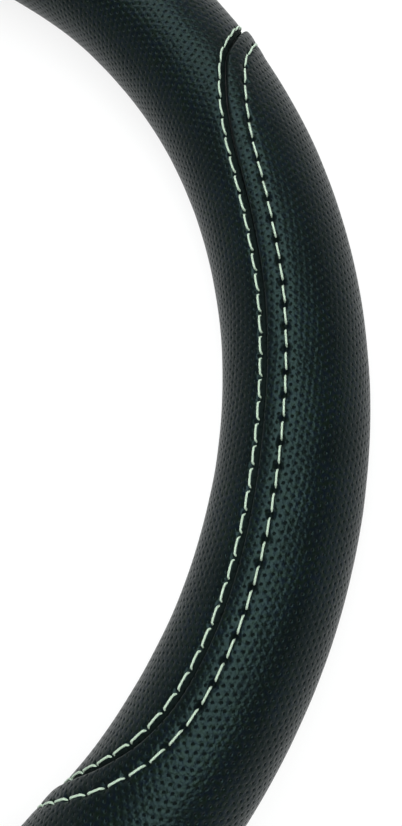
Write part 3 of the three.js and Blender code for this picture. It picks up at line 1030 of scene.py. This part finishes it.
class COVER_OT_stage(Operator):
    """Sets the camera, the lights, the pale floor and the room"""

    bl_idname = "cover.stage"
    bl_label = "Stage"

    def execute(self, context):
        stage = context.scene.cover_stage
        scene = context.scene
        scene.view_settings.view_transform = "Standard"
        camera = bpy.data.objects.new("camera", bpy.data.cameras.new("camera"))
        scene.collection.objects.link(camera)
        camera.data.lens = stage.lens
        camera.data.sensor_width = 36.0
        camera.data.clip_start = 0.01
        camera.data.clip_end = 20.0
        right = Vector(stage.camera_right).normalized()
        up = Vector(stage.camera_up)
        up = (up - right * up.dot(right)).normalized()
        turn = Matrix((right, up, right.cross(up))).transposed()
        camera.matrix_world = Matrix.Translation(Vector(stage.camera_place)) @ turn.to_4x4()
        scene.camera = camera
        self.make_floor(scene)
        self.make_backdrop(scene)
        self.make_room(scene, stage)
        self.make_light(scene, "overhead", *OVERHEAD_LIGHT, stage.overhead)
        self.make_light(scene, "far", *FAR_LIGHT, stage.far)
        return {"FINISHED"}

    def make_floor(self, scene):
        half = FLOOR_HALF
        corners = [(-half, -half, 0), (half, -half, 0), (half, half, 0), (-half, half, 0)]
        self.make_pale(scene, "floor", corners, [(0, 1, 2, 3)], FLOOR_WHITE)

    def make_backdrop(self, scene):
        """A white wall round the floor, outside the picture when the camera looks down on the cover."""
        angles = [2 * math.pi * k / BACKDROP_SIDES for k in range(BACKDROP_SIDES)]
        points = [(BACKDROP_RADIUS * math.cos(a), BACKDROP_RADIUS * math.sin(a), z)
                  for z in (0.0, BACKDROP_HEIGHT) for a in angles]
        faces = []
        for k in range(BACKDROP_SIDES):
            n = (k + 1) % BACKDROP_SIDES
            faces.append((k, k + BACKDROP_SIDES, n + BACKDROP_SIDES, n))
        self.make_pale(scene, "backdrop", points, faces, 1.0)

    def make_pale(self, scene, name, points, faces, share):
        """A pale stage surface that is seen and mirrored as white by its share, and lit by the lamps."""
        mesh = bpy.data.meshes.new(name)
        mesh.from_pydata(points, [], faces)
        material = bpy.data.materials.new(f"Pale {name}")
        material.use_nodes = True
        tree = material.node_tree
        tree.nodes.clear()
        output = tree.nodes.new("ShaderNodeOutputMaterial")
        diffuse = add_node(tree, "ShaderNodeBsdfDiffuse", {"Color": STAGE_COLOUR})
        white = add_node(tree, "ShaderNodeEmission", {"Color": WHITE, "Strength": 1.0})
        path = tree.nodes.new("ShaderNodeLightPath")
        seen = maths(tree, "MAXIMUM", path.outputs["Is Camera Ray"], path.outputs["Is Glossy Ray"])
        seen = maths(tree, "MAXIMUM", seen, path.outputs["Is Transmission Ray"])
        both = add_node(tree, "ShaderNodeMixShader", {
            0: maths(tree, "MULTIPLY", seen, share), 1: diffuse.outputs[0], 2: white.outputs[0]})
        tree.links.new(both.outputs[0], output.inputs["Surface"])
        mesh.materials.append(material)
        surface = bpy.data.objects.new(name, mesh)
        scene.collection.objects.link(surface)

    def make_room(self, scene, stage):
        world = bpy.data.worlds.new("room")
        scene.world = world
        world.use_nodes = True
        tree = world.node_tree
        tree.nodes.clear()
        output = tree.nodes.new("ShaderNodeOutputWorld")
        dim = add_node(tree, "ShaderNodeBackground", {
            "Color": ROOM_COLOUR, "Strength": stage.surround})
        tree.links.new(dim.outputs[0], output.inputs["Surface"])

    def make_light(self, scene, name, place, target, size, power):
        lamp = bpy.data.lights.new(name, "AREA")
        lamp.shape = "RECTANGLE"
        lamp.size, lamp.size_y = size
        lamp.energy = power
        lamp.color = LIGHT_COLOUR
        light = bpy.data.objects.new(name, lamp)
        light.location = place
        light.rotation_euler = (Vector(target) - Vector(place)).to_track_quat("-Z", "Y").to_euler()
        scene.collection.objects.link(light)


class COVER_PT_wheel_cover(Panel):
    """Sizes, colours and steps of the steering wheel cover"""

    bl_label = "Steering wheel cover"
    bl_idname = "COVER_PT_wheel_cover"
    bl_space_type = "VIEW_3D"
    bl_region_type = "UI"
    bl_category = "Wheel cover"

    def draw(self, context):
        layout = self.layout
        for group in (context.scene.cover_sizes, context.scene.cover_colours, context.scene.cover_stage):
            box = layout.box()
            for key in group.bl_rna.properties.keys():
                if key not in {"rna_type", "name"}:
                    box.prop(group, key)
        for step in STEPS:
            layout.operator(step.bl_idname)


STEPS = (COVER_OT_rubber_ring, COVER_OT_leather_panels, COVER_OT_stitches, COVER_OT_stage)
CLASSES = (CoverSizes, CoverColours, CoverStage, *STEPS, COVER_PT_wheel_cover)


def register():
    for cls in CLASSES:
        bpy.utils.register_class(cls)
    bpy.types.Scene.cover_sizes = PointerProperty(type=CoverSizes)
    bpy.types.Scene.cover_colours = PointerProperty(type=CoverColours)
    bpy.types.Scene.cover_stage = PointerProperty(type=CoverStage)


def unregister():
    del bpy.types.Scene.cover_stage
    del bpy.types.Scene.cover_colours
    del bpy.types.Scene.cover_sizes
    for cls in reversed(CLASSES):
        bpy.utils.unregister_class(cls)


def main():
    register()
    bpy.ops.cover.stage()
    bpy.ops.cover.rubber_ring()
    bpy.ops.cover.leather_panels()
    bpy.ops.cover.stitches()


if __name__ == "__main__":
    main()
